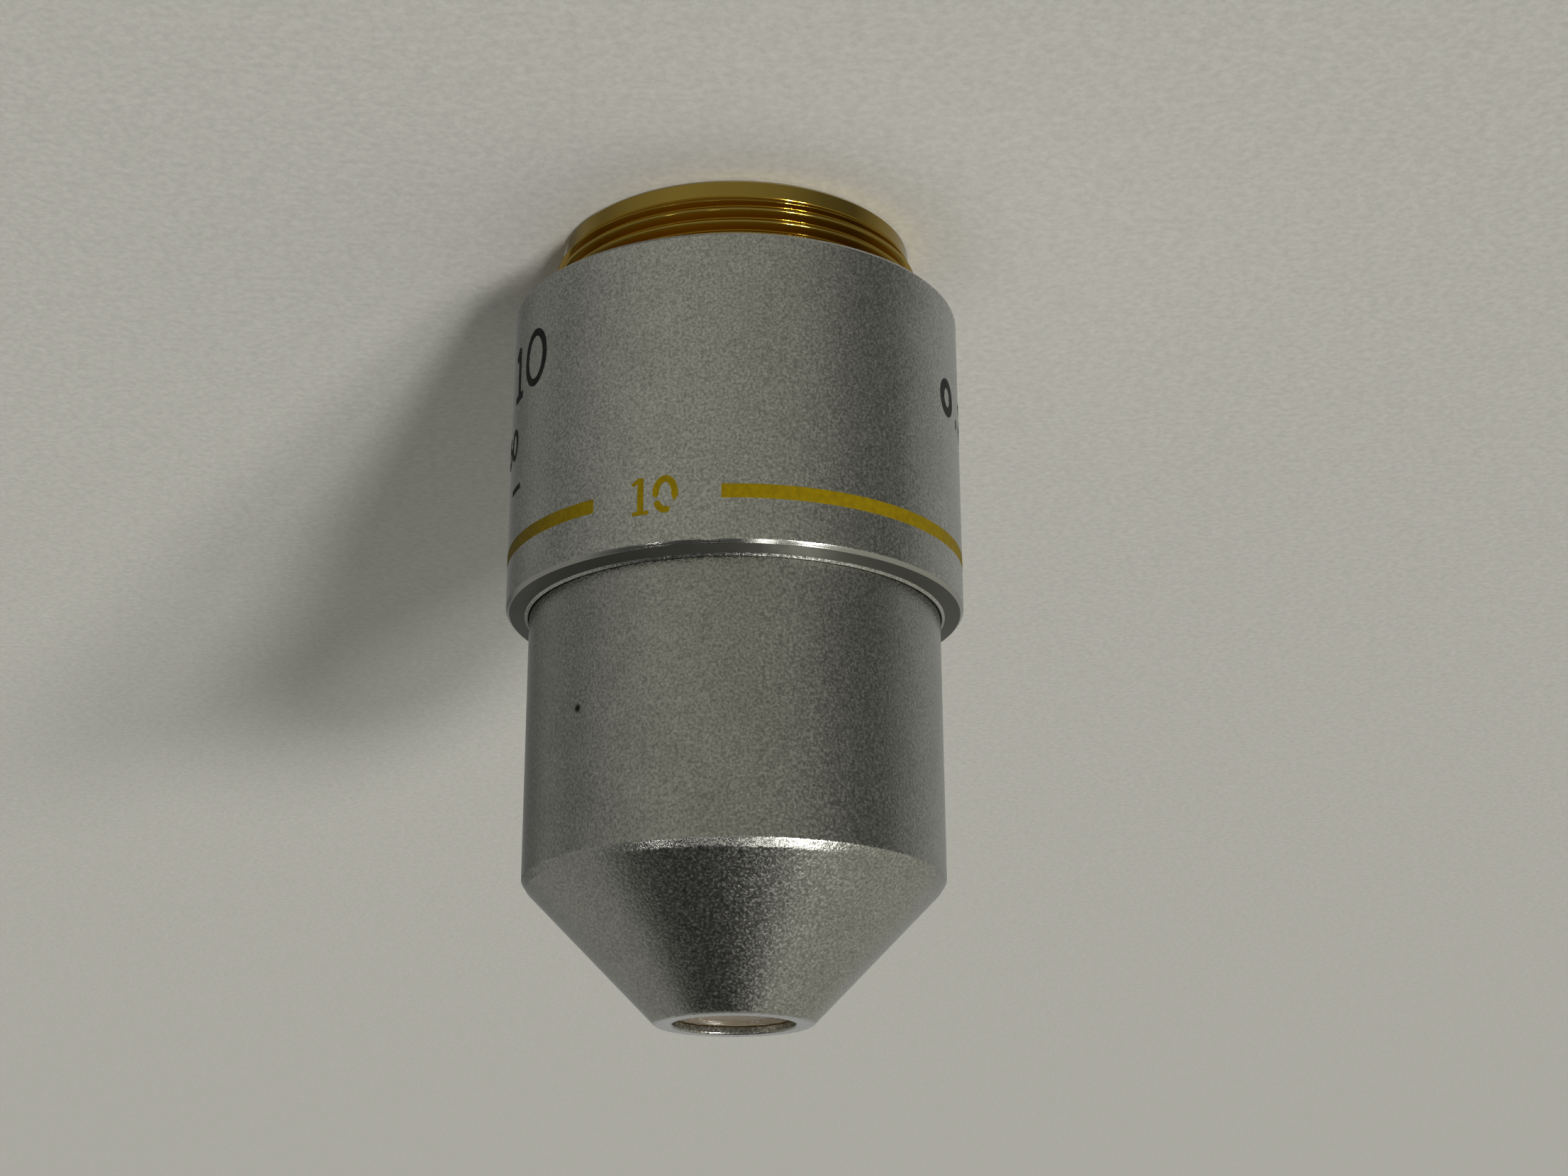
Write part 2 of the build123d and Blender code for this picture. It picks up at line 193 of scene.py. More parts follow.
# %% Walls
WALL_GREYS = {  # degrees round from the camera's side towards +X, and the wall's grey there
    -180: 0.30,
    -140: 0.30,
    -112: 0.24,
    -84: 0.09,
    -60: 0.12,
    -32: 0.22,
    0: 0.26,
    40: 0.29,
    72: 0.23,
    98: 0.15,
    120: 0.21,
    146: 0.09,
    180: 0.30,
}
WARM_FRONT, WARM_ROUND = 0.08, 0.05  # share of blue that the walls lack
world = bpy.data.worlds.new("room")
scene.world = world
world.use_nodes = True
tree = world.node_tree
toward = node(tree, "ShaderNodeTexCoord").outputs["Generated"]
axes = node(tree, "ShaderNodeSeparateXYZ", {"Vector": toward})
to_camera = calculate(tree, "MULTIPLY", axes.outputs["Y"], -1.0)
compass = calculate(tree, "ARCTAN2", axes.outputs["X"], to_camera)
bearing = node(tree, "ShaderNodeMapRange", {"Value": compass, "From Min": -pi, "From Max": pi})
walls = node(tree, "ShaderNodeValToRGB", {"Fac": bearing.outputs[0]})
stops = walls.color_ramp.elements
while len(stops) < len(WALL_GREYS):
    stops.new(0.5)
for stop, (turn, grey) in zip(stops, WALL_GREYS.items()):
    warmth = WARM_ROUND + WARM_FRONT * max(0.0, cos(radians(turn)))
    stop.position = (turn + 180) / 360
    stop.color = (grey, grey, grey * (1 - warmth), 1.0)
print("room drawn with", len(stops), "wall greys")

# %% Ceiling
SKY_RIGHT, SKY_LEFT = (0.335, 0.332, 0.292, 1.0), (0.24, 0.241, 0.225, 1.0)  # as the picture has them
SKY_SPAN = 0.8  # a direction's X goes from minus this to this as the sky's colour changes
WALL_TOP, SKY_BASE = 0.05, 0.3  # a direction's Z where the walls end and where the plain sky begins
SHADES = (  # a direction, the degrees from it to the shade's edge and core, and a grey
    ((0.25, -0.32, 0.914), 46, 17, 0.035),
    ((0.0, 0.955, 0.296), 24, 9, 0.42),
)
sides = {"Value": axes.outputs["X"], "From Min": -SKY_SPAN, "From Max": SKY_SPAN}
across = node(tree, "ShaderNodeMapRange", sides)
sky = mixed(tree, across.outputs[0], SKY_RIGHT, SKY_LEFT)
climb = {"Value": axes.outputs["Z"], "From Min": WALL_TOP, "From Max": SKY_BASE}
high = node(tree, "ShaderNodeMapRange", climb, interpolation_type="SMOOTHSTEP")
room = mixed(tree, high.outputs[0], walls.outputs["Color"], sky)
for axis, edge, core, grey in SHADES:
    facing = node(tree, "ShaderNodeVectorMath", {0: toward, 1: axis}, operation="DOT_PRODUCT")
    span = {"From Min": cos(radians(edge)), "From Max": cos(radians(core))}
    near = {"Value": facing.outputs["Value"]} | span
    shade = node(tree, "ShaderNodeMapRange", near, interpolation_type="SMOOTHSTEP")
    room = mixed(tree, shade.outputs[0], room, (grey, grey, grey, 1.0))
tree.links.new(room, tree.nodes["Background"].inputs["Color"])
print("room has", len(SHADES), "shades above its walls")

# %% [markdown]
# The lamps are far away, so they are suns with a soft edge. Two of them light paper and paint and cast the
# shadow. The others only glint: two panes for the thread and the bevels, and five small ceiling lamps whose
# row of glints runs along the bevel at the front of the barrel.


# %% Lamps
DAYLIGHT = (1.0, 0.985, 0.95)
LAMPS = (  # a name, the direction to it, its width in degrees, its strength, and whether it only glints
    ("window_near", (-0.34, -0.877, 0.342), 7.6, 2.0, False),
    ("window_far", (-0.47, -0.83, 0.30), 7.6, 1.1, False),
    ("pane_near", (-0.493, -0.674, 0.548), 2.5, 1.2, True),
    ("pane_far", (-0.611, -0.622, 0.490), 2.5, 0.7, True),
    ("ceiling_near", (-0.46, -0.43, 0.777), 4.0, 0.10, True),
    ("ceiling_far", (-0.54, -0.48, 0.690), 4.0, 0.08, True),
    ("ceiling_front", (-0.19, -0.52, 0.83), 6.0, 0.08, True),
    ("ceiling_middle", (0.18, -0.68, 0.71), 6.0, 0.04, True),
    ("ceiling_left", (0.53, -0.51, 0.676), 4.0, 0.07, True),
)


def lamp(name, direction, softness, strength, glint):
    """A far lamp. It either lights paper and paint, or shows as a glint in the metal."""
    data = bpy.data.lights.new(name, "SUN")
    data.energy = strength
    data.angle = radians(softness)
    data.color = DAYLIGHT
    made = bpy.data.objects.new(name, data)
    made.matrix_world = Vector(direction).to_track_quat("Z", "Y").to_matrix().to_4x4()
    made.visible_glossy = glint
    made.visible_diffuse = not glint
    scene.collection.objects.link(made)


for row in LAMPS:
    lamp(*row)

# %% [markdown]
# ## Satin chrome
# The sleeve and the barrel are brass, blasted with fine glass beads and then chrome plated. The beads
# leave shallow dimples that scatter a reflection into a soft glow with a fine sparkle. The dimples are
# about 0.05 mm across, so they are drawn at 0.14 mm to show at this size. A wider noise gives the slow
# drift of tone that plating has. The barrel's copy is drawn a shade darker, which is painted shade for the
# darker room that it reflects, and it has one dark speck on its flank.

# %% Satin chrome materials
# the barrel's two tones sit below the sleeve's as painted shade, for the darker room that the barrel
# reflects
PLATE_AND_SHADE_TONES = (("sleeve", "#CBCBC4", "#D4D4CD"), ("barrel", "#BBBBB4", "#C4C4BD"))
DIMPLE, DIMPLE_DEPTH = 0.14 * MM, 0.05 * MM
DRIFT = 2.5 * MM
SPECK_TURN, SPECK_HEIGHT = radians(45.4), 24.34  # from the camera's side towards +X, and in mm
SPECK_CORE, SPECK_EDGE = 0.12 * MM, 0.3 * MM
barrel_radius, barrel_rear, nose = size_of("front_barrel")
speck_round = barrel_radius * sin(SPECK_TURN), -barrel_radius * cos(SPECK_TURN)
speck_place = [x * MM for x in (*speck_round, SPECK_HEIGHT)]
chromes = {}
for piece, deep, pale in PLATE_AND_SHADE_TONES:
    chrome, tree, shader, place = new_material("chrome_plated_brass_bead_blasted_" + piece)
    dimples = node(tree, "ShaderNodeTexNoise", {"Vector": place, "Scale": 1 / DIMPLE, "Roughness": 0.6})
    drift = node(tree, "ShaderNodeTexNoise", {"Vector": place, "Scale": 1 / DRIFT})
    plate = node(tree, "ShaderNodeValToRGB", {"Fac": drift.outputs["Fac"]})
    set_tones(plate, 0.3, deep, 0.7, pale)
    depth = {"Value": dimples.outputs["Fac"], "From Min": 0.32, "From Max": 0.68}
    grain = node(tree, "ShaderNodeMapRange", depth | {"To Min": 0.63, "To Max": 1.26})
    sheen = node(tree, "ShaderNodeMapRange", depth | {"To Min": 0.14, "To Max": 0.31})
    grains = {0: plate.outputs["Color"], "Scale": grain.outputs[0]}
    grained = node(tree, "ShaderNodeVectorMath", grains, operation="SCALE")
    away = node(tree, "ShaderNodeVectorMath", {0: place, 1: speck_place}, operation="DISTANCE")
    fade = {"From Min": SPECK_EDGE, "From Max": SPECK_CORE}
    speck = node(tree, "ShaderNodeMapRange", {"Value": away.outputs["Value"]} | fade)
    spotted = mixed(tree, speck.outputs[0], grained.outputs[0], linear("#3A3833"))
    pits = {"Height": dimples.outputs["Fac"], "Distance": DIMPLE_DEPTH, "Strength": 0.4}
    relief = node(tree, "ShaderNodeBump", pits)
    tree.links.new(spotted, shader.inputs["Base Color"])
    tree.links.new(sheen.outputs[0], shader.inputs["Roughness"])
    tree.links.new(relief.outputs["Normal"], shader.inputs["Normal"])
    shader.inputs["Metallic"].default_value = 1.0
    chromes[piece] = chrome
print("made", [m.name for m in chromes.values()])

# %% [markdown]
# The sleeve's front edge was cut after the blasting. Its bevel came off the tool bright and smooth, so it
# mirrors the room in clear light and dark stretches. The face beside it is rougher, and its colour is
# darkened as painted shade, standing in for the shadow that the face would mirror. Both keep the tool's
# rings, about 0.08 mm apart.

# %% Turned chrome materials
WAVE = pi / 10  # a wave texture of scale one repeats after this length
CUT, CUT_DEPTH = 0.08 * MM, 0.004 * MM
# the coned face's tones are painted shade, darker than its plate; the bevel's tones are the plate's own
CUTS = (("dull_and_shaded", "#565652", "#71716B", 0.55), ("bright", "#BEBEB7", "#C9C9C2", 0.16))
for piece, deep, pale, roughness in CUTS:
    chrome, tree, shader, place = new_material("chrome_plated_brass_turned_" + piece)
    cut = {"Vector": place, "Scale": WAVE / CUT, "Distortion": 1.5}
    rings = node(tree, "ShaderNodeTexWave", cut, wave_type="RINGS", rings_direction="Z")
    tone = node(tree, "ShaderNodeValToRGB", {"Fac": rings.outputs["Fac"]})
    set_tones(tone, 0.0, deep, 1.0, pale)
    grooves = {"Height": rings.outputs["Fac"], "Distance": CUT_DEPTH, "Strength": 0.5}
    relief = node(tree, "ShaderNodeBump", grooves)
    tree.links.new(tone.outputs["Color"], shader.inputs["Base Color"])
    tree.links.new(relief.outputs["Normal"], shader.inputs["Normal"])
    shader.inputs["Roughness"].default_value = roughness
    shader.inputs["Metallic"].default_value = 1.0
    chromes[piece] = chrome
print("made", chromes["dull_and_shaded"].name, chromes["bright"].name)

# %% [markdown]
# ## Brass, three ways
# The mount body is turned brass under a gold lacquer: it shines, keeps the tool's fine rings, and looks
# browner deep in the thread where the lacquer pools. The cells and rings inside are brass that a dip has
# turned black, with a cloudy bloom, so they swallow stray light. The front cell is left bare and shows the
# plain metal. The tool's rings are about 0.06 mm apart, so they are drawn two to three times as wide to
# show.

# %% Lacquered brass
THREAD_RADIUS, THREAD_DEPTH = 10.16, 0.452
THREAD_START, THREAD_END = -3.3, -0.5
ROOT = THREAD_RADIUS - THREAD_DEPTH
POOLED, THINNED = 0.07, 0.02  # the lacquer is browner this near a root and clear this near a crest, in mm
PILOT_FADE = 0.1  # and it clears within this distance below the thread
RING, RING_DEPTH = 0.06 * MM, 0.001 * MM
LACQUERED_RING, BARE_RING = 2 * RING, 2.7 * RING
lacquered, tree, shader, place = new_material("brass_turned_and_gold_lacquered")
axes = node(tree, "ShaderNodeSeparateXYZ", {"Vector": place})
flat = node(tree, "ShaderNodeCombineXYZ", {"X": axes.outputs["X"], "Y": axes.outputs["Y"]})
from_axis = node(tree, "ShaderNodeVectorMath", {0: flat.outputs[0]}, operation="LENGTH")
outward = {"From Min": (ROOT + POOLED) * MM, "From Max": (THREAD_RADIUS - THINNED) * MM}
crest = node(tree, "ShaderNodeMapRange", {"Value": from_axis.outputs["Value"]} | outward)
below = {"From Min": THREAD_START * MM, "From Max": (THREAD_START - PILOT_FADE) * MM}
pilot = node(tree, "ShaderNodeMapRange", {"Value": axes.outputs["Z"]} | below)
clear = calculate(tree, "MAXIMUM", crest.outputs[0], pilot.outputs[0])
gold = mixed(tree, clear, linear("#B08626"), linear("#BD9F4C"))
cut = {"Vector": place, "Scale": WAVE / LACQUERED_RING, "Distortion": 0.6}
rings = node(tree, "ShaderNodeTexWave", cut, bands_direction="Z")
grooves = {"Height": rings.outputs["Fac"], "Distance": RING_DEPTH, "Strength": 0.35}
relief = node(tree, "ShaderNodeBump", grooves)
tree.links.new(gold, shader.inputs["Base Color"])
tree.links.new(relief.outputs["Normal"], shader.inputs["Normal"])
shader.inputs["Metallic"].default_value = 1.0
shader.inputs["Roughness"].default_value = 0.11
print("made", lacquered.name)

# %% Blackened and bare brass
BLOOM = 0.8 * MM
blackened, tree, shader, place = new_material("brass_chemically_blackened")
bloom = node(tree, "ShaderNodeTexNoise", {"Vector": place, "Scale": 1 / BLOOM, "Detail": 4.0})
tone = node(tree, "ShaderNodeValToRGB", {"Fac": bloom.outputs["Fac"]})
set_tones(tone, 0.3, "#1B1917", 0.75, "#2B2722")
tree.links.new(tone.outputs["Color"], shader.inputs["Base Color"])
shader.inputs["Roughness"].default_value = 0.55

bare, tree, shader, place = new_material("brass_turned_bare")
cut = {"Vector": place, "Scale": WAVE / BARE_RING, "Distortion": 1.0}
rings = node(tree, "ShaderNodeTexWave", cut, bands_direction="Z")
tone = node(tree, "ShaderNodeValToRGB", {"Fac": rings.outputs["Fac"]})
set_tones(tone, 0.0, "#C4A15E", 1.0, "#CEAD6C")
worn = node(tree, "ShaderNodeMapRange", {"Value": rings.outputs["Fac"], "To Min": 0.24, "To Max": 0.36})
tree.links.new(tone.outputs["Color"], shader.inputs["Base Color"])
tree.links.new(worn.outputs[0], shader.inputs["Roughness"])
shader.inputs["Metallic"].default_value = 1.0
print("made", blackened.name, bare.name)

# %% [markdown]
# ## Glass and paint
# The lenses are polished optical glass with a thin coating that tints what it reflects, and a trace of haze
# in patches under a millimetre wide. The engraved marks are filled with enamel, which dries nearly matt and
# a little uneven: yellow for ten power, black for the rest.

# %% Glass and paint materials
HAZE, STREAK = 0.7 * MM, 0.3 * MM
glass, tree, shader, place = new_material("optical_glass_polished_and_coated")
haze = node(tree, "ShaderNodeTexNoise", {"Vector": place, "Scale": 1 / HAZE, "Detail": 4.0})
patches = {"From Min": 0.4, "From Max": 0.7, "To Min": 0.02, "To Max": 0.07}
film = node(tree, "ShaderNodeMapRange", {"Value": haze.outputs["Fac"]} | patches)
tree.links.new(film.outputs[0], shader.inputs["Roughness"])
shader.inputs["Base Color"].default_value = linear("#F3E6CF")
shader.inputs["IOR"].default_value = 1.62
shader.inputs["Transmission Weight"].default_value = 0.86

enamels = {}
for paint, deep, pale in (("yellow", "#685700", "#756300"), ("black", "#161616", "#262624")):
    enamel, tree, shader, place = new_material(paint + "_enamel_wiped_into_engraving")
    streaks = node(tree, "ShaderNodeTexNoise", {"Vector": place, "Scale": 1 / STREAK, "Detail": 3.0})
    tone = node(tree, "ShaderNodeValToRGB", {"Fac": streaks.outputs["Fac"]})
    set_tones(tone, 0.35, deep, 0.65, pale)
    tree.links.new(tone.outputs["Color"], shader.inputs["Base Color"])
    shader.inputs["Roughness"].default_value = 0.5
    shader.inputs["Specular IOR Level"].default_value = 0.1
    enamels[paint] = enamel
print("made", glass.name, [m.name for m in enamels.values()])

# %% [markdown]
# ## Turning on the lathe
# Every metal part here was turned, so each one is an outline carried round the axis. A Screw modifier could
# spin it, but a short function gives control over the corners: each corner becomes a small round with
# a ring of support on either side, so that flats shade flat and edges catch the light as real ones do.

# %% Outline with rounded corners
EDGE = 0.03  # the usual broken edge, in mm
SUPPORT = 1.5  # the support rings lie this many corners away
LARGEST = 0.3  # a corner takes at most this share of the edges beside it
ARC = (0.0, 0.25, 0.5, 0.75, 1.0)


def rounded(outline, closed):
    """Points (radius, height) in mm, or (radius, height, corner) where the edge isn't the usual one."""
    points = []
    count = len(outline)
    for i, (r, z, *special) in enumerate(outline):
        here = Vector((r, z))
        corner = special[0] if special else EDGE
        if corner == 0 or (not closed and i in (0, count - 1)):
            points.append(here)
            continue
        before = Vector(outline[i - 1][:2]) - here
        after = Vector(outline[(i + 1) % count][:2]) - here
        cut = min(corner, LARGEST * before.length, LARGEST * after.length)
        before.normalize()
        after.normalize()
        points.append(here + before * cut * SUPPORT)
        points += [here + before * cut * (1 - t) ** 2 + after * cut * t**2 for t in ARC]
        points.append(here + after * cut * SUPPORT)
    return points


print("a square corner becomes", len(rounded([(1, 0), (1, 1), (0, 1)], False)) - 2, "points")


# %% Lathe
SEGMENTS = 192
INWARD = 0.3  # least share of a face's normal that points to the axis on the wall of a bore


def as_piece(name, shape, finish, smooth=True):
    """The shape as an object. The finish is a material, or a rule that picks one for each face."""
    bmesh.ops.recalc_face_normals(shape, faces=shape.faces)
    mesh = bpy.data.meshes.new(name)
    shape.to_mesh(mesh)
    shape.free()
    for face in mesh.polygons:
        material = finish(face) if callable(finish) else finish
        if material.name not in mesh.materials:
            mesh.materials.append(material)
        face.material_index = mesh.materials.find(material.name)
        face.use_smooth = smooth
    made = bpy.data.objects.new(name, mesh)
    scene.collection.objects.link(made)
    return made


def turned(name, outline, finish, closed=True):
    """A piece turned from its outline, which may be left open."""
    shape = bmesh.new()
    turns = [2 * pi * k / SEGMENTS for k in range(SEGMENTS)]
    rows = []
    for r, z in rounded(outline, closed):
        around = turns if r > 0 else turns[:1]
        rows.append([shape.verts.new((r * cos(a) * MM, r * sin(a) * MM, z * MM)) for a in around])
    for low, high in zip(rows, rows[1:] + (rows[:1] if closed else [])):
        for k in range(SEGMENTS):
            n = (k + 1) % SEGMENTS
            corners = low[k % len(low)], low[n % len(low)], high[n % len(high)], high[k % len(high)]
            corners = list(dict.fromkeys(corners))
            if len(corners) > 2:
                shape.faces.new(corners)
    return as_piece(name, shape, finish)


def looks_inward(face):
    """Whether a face belongs to the wall of a bore."""
    return face.normal.xy.dot(face.center.xy.normalized()) < -INWARD


def finished(piece, slot, *nodes):
    """The piece rides with the body and stands for CAD nodes; its slot is not used."""
    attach(piece, "root")
    if nodes:
        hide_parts(*nodes)
    triangles = sum(len(face.vertices) - 2 for face in piece.data.polygons)
    print(piece.name, triangles, "triangles")


print("one turn has", SEGMENTS, "segments")

# %% [markdown]
# ## The sleeve
# The outer sleeve is the part that the fingers hold. Its rear face is the mounting shoulder, and its front
# ends in a narrow bevel, a slightly coned face and a fine rim, so it catches two bright lines.

# %% Sleeve
SLEEVE_WALL = 1.2
LIP_BORE, LIP = 10.27, 1.0  # an inward lip at the rear rests on the mount body
REAR_BEVEL = 0.25
EDGE_BEVEL, EDGE_RUN = 0.16, 0.2
FACE_RISE = 0.18
RIM, RIM_BEVEL, RIM_RISE = 0.16, 0.11, 0.12
FACE_UP, BEVEL_UP = 0.95, 0.3  # least upward share of the normal on the coned face and on the bevel
sleeve_radius, shoulder, sleeve_front = size_of("outer_sleeve")
sleeve_bore = sleeve_radius - SLEEVE_WALL
face_front = sleeve_front - RIM_RISE
face_rear = face_front - FACE_RISE


def sleeve_finish(face):
    """Rough and darkened on the coned face, which is painted shade, bright on the bevel round it, and
    blasted elsewhere.
    """
    if face.normal.z > FACE_UP:
        return chromes["dull_and_shaded"]
    on_bevel = face.normal.z > BEVEL_UP and face.center.xy.length > (sleeve_radius - REAR_BEVEL) * MM
    return chromes["bright"] if on_bevel else chromes["sleeve"]


sleeve_outline = [
    (LIP_BORE, shoulder),
    (sleeve_radius - REAR_BEVEL, shoulder),
    (sleeve_radius, shoulder + REAR_BEVEL),
    (sleeve_radius, face_rear - EDGE_RUN),
    (sleeve_radius - EDGE_BEVEL, face_rear),
    (sleeve_bore + RIM, face_front),
    (sleeve_bore + RIM - RIM_BEVEL, sleeve_front),
    (sleeve_bore, sleeve_front),
    (sleeve_bore, LIP),
    (LIP_BORE, LIP),
]
finished(turned("sleeve_chromed", sleeve_outline, sleeve_finish), "satin_chrome", "outer_sleeve")

# %% [markdown]
# ## The barrel
# The front barrel slips into the sleeve and ends in a cone. A bevel runs round the edge where the cone
# starts, bright where it meets the lamps. The nose closes round the front lens with a rounded rim. Inside,
# the barrel is bare brass, which gives the light round the front lens its warm tint.

# %% Barrel
CONE_RUN, CONE_WALL = 6.93, 1.1
BARREL_WALL = 2.19
SKIRT_WALL, SKIRT_TOP = 1.47, 16.8  # thinner up to here, where the barrel screws on the mount body
BEVEL, BEVEL_RUN, BEVEL_EDGE = 0.27, 0.42, 0.06
NOSE_RADIUS, NOSE_ROUND = 4.08, 0.16
NOSE_BORE, NOSE_LIP = 3.80, 0.4
APERTURE, APERTURE_BEVEL = 3.18, 0.08
barrel_bore = barrel_radius - BARREL_WALL
skirt_bore = barrel_radius - SKIRT_WALL
cone_radius = barrel_radius - BEVEL
cone_rear = nose - CONE_RUN
slope = (cone_radius - NOSE_RADIUS) / CONE_RUN


def hollow(r):
    """Height at which the hollow of the cone is this wide."""
    return nose - (r + CONE_WALL * sqrt(1 + slope**2) - NOSE_RADIUS) / slope


def barrel_finish(face):
    """Bare brass on the walls behind the nose's lip, and blasted chrome elsewhere."""
    inside = looks_inward(face) and face.center.z < (nose - NOSE_LIP) * MM
    return bare if inside else chromes["barrel"]


barrel_outline = [
    (skirt_bore, barrel_rear),
    (barrel_radius, barrel_rear),
    (barrel_radius, cone_rear - BEVEL_RUN, BEVEL_EDGE),
    (cone_radius, cone_rear, BEVEL_EDGE),
    (NOSE_RADIUS, nose, NOSE_ROUND),
    (APERTURE + APERTURE_BEVEL, nose),
    (APERTURE, nose - APERTURE_BEVEL),
    (APERTURE, nose - NOSE_LIP),
    (NOSE_BORE, nose - NOSE_LIP),
    (NOSE_BORE, hollow(NOSE_BORE)),
    (barrel_bore, hollow(barrel_bore)),
    (barrel_bore, SKIRT_TOP),
    (skirt_bore, SKIRT_TOP),
]
finished(turned("barrel_chromed", barrel_outline, barrel_finish), "satin_chrome", "front_barrel")

# %% [markdown]
# ## The thread
# The mounting thread is 20.32 mm across with 36 turns to the inch, cut with rounded crests and roots. A
# spiral curve with a swept profile would leave loose ends, so Geometry Nodes bend a flat grid into a
# band instead. One axis of the grid goes round, the other goes up, and each point is lifted by how far it
# lies from the nearest root. The flanks meet at 55 degrees, and a smooth minimum and maximum round the
# crests and the roots. The lift is held back at both ends, where the cutter runs in and out.

# %% Thread tree: the lift of the flat grid
INCH, TURNS_PER_INCH = 25.4, 36
FLANK_ANGLE = 55  # degrees between the two flanks of a groove
THREAD_ROUND = 0.15  # reach of the smooth minimum and maximum, in mm
ROWS = 145  # points of the grid from the start of the thread to its end
pitch = INCH / TURNS_PER_INCH
steepness = 1 / tan(radians(FLANK_ANGLE / 2))
sizes = {
    "Root Radius": ROOT,
    "Depth": THREAD_DEPTH,
    "Pitch": pitch,
    "Cut": (pitch * steepness / 2 - THREAD_DEPTH) / 2,  # what the rounding takes off a sharp crest or root
    "Round": THREAD_ROUND,
    "Start": THREAD_START,
    "Run": THREAD_END - THREAD_START,
}
tree = bpy.data.node_groups.new("cut_thread", "GeometryNodeTree")
sockets = {}
for name in sizes:
    sockets[name] = tree.interface.new_socket(name, in_out="INPUT", socket_type="NodeSocketFloat")
sockets["Finish"] = tree.interface.new_socket("Finish", in_out="INPUT", socket_type="NodeSocketMaterial")
tree.interface.new_socket("Geometry", in_out="OUTPUT", socket_type="NodeSocketGeometry")
given = node(tree, "NodeGroupInput").outputs
counts = {"Size X": 1.0, "Size Y": given["Run"], "Vertices X": SEGMENTS + 1, "Vertices Y": ROWS}
grid = node(tree, "GeometryNodeMeshGrid", counts)
point = node(tree, "ShaderNodeSeparateXYZ", {"Vector": node(tree, "GeometryNodeInputPosition").outputs[0]})
half = calculate(tree, "MULTIPLY", given["Run"], 0.5)
rise = calculate(tree, "ADD", point.outputs["Y"], half)
left = calculate(tree, "SUBTRACT", given["Run"], rise)
climbed = calculate(tree, "DIVIDE", rise, given["Pitch"])
phase = calculate(tree, "SUBTRACT", climbed, point.outputs["X"])
tooth = calculate(tree, "PINGPONG", phase, 0.5)
width = calculate(tree, "MULTIPLY", tooth, given["Pitch"])
flank = calculate(tree, "MULTIPLY", width, steepness)
sharp = calculate(tree, "SUBTRACT", flank, given["Cut"])
crested = calculate(tree, "SMOOTH_MIN", sharp, given["Depth"], given["Round"])
lift = calculate(tree, "SMOOTH_MAX", crested, 0.0, given["Round"])
run_in = calculate(tree, "MINIMUM", lift, rise)
run_out = calculate(tree, "MINIMUM", run_in, left)
print("lift drawn with", len(tree.nodes), "nodes")

# %% Thread tree: the bend round the axis
WELD = 0.001 * MM
radius = calculate(tree, "ADD", run_out, given["Root Radius"])
angle = calculate(tree, "MULTIPLY", point.outputs["X"], 2 * pi)
x = calculate(tree, "MULTIPLY", radius, calculate(tree, "COSINE", angle))
y = calculate(tree, "MULTIPLY", radius, calculate(tree, "SINE", angle))
z = calculate(tree, "ADD", rise, given["Start"])
wrapped = node(tree, "ShaderNodeCombineXYZ", {"X": x, "Y": y, "Z": z})
bend = {"Geometry": grid.outputs["Mesh"], "Position": wrapped.outputs[0]}
bent = node(tree, "GeometryNodeSetPosition", bend)
welded = node(tree, "GeometryNodeMergeByDistance", {"Geometry": bent.outputs[0], "Distance": WELD})
real = node(tree, "GeometryNodeRealizeInstances", {"Geometry": welded.outputs[0]})
coated = node(tree, "GeometryNodeSetMaterial", {"Geometry": real.outputs[0], "Material": given["Finish"]})
node(tree, "NodeGroupOutput", {"Geometry": coated.outputs[0]})
print("thread tree has", len(tree.nodes), "nodes")

# %% Thread mesh
carrier = bpy.data.objects.new("thread_carrier", bpy.data.meshes.new("thread_carrier"))
scene.collection.objects.link(carrier)
cutter = carrier.modifiers.new("thread", "NODES")
cutter.node_group = tree
for name, value in sizes.items():
    cutter[sockets[name].identifier] = value * MM
cutter[sockets["Finish"].identifier] = lacquered
thread_mesh = bpy.data.meshes.new_from_object(carrier.evaluated_get(bpy.context.evaluated_depsgraph_get()))
carrier.modifiers.remove(cutter)
bpy.data.objects.remove(carrier)
print("thread band:", len(thread_mesh.vertices), "points")

# %% [markdown]
# ## The mount body
# The brass body carries the thread, the plain pilot that finds the hole first, and the hub and skirt hidden
# under the sleeve. Its outline is turned open, from the thread's upper end round to its lower end,
# and the thread band closes it. Its bore is blackened.

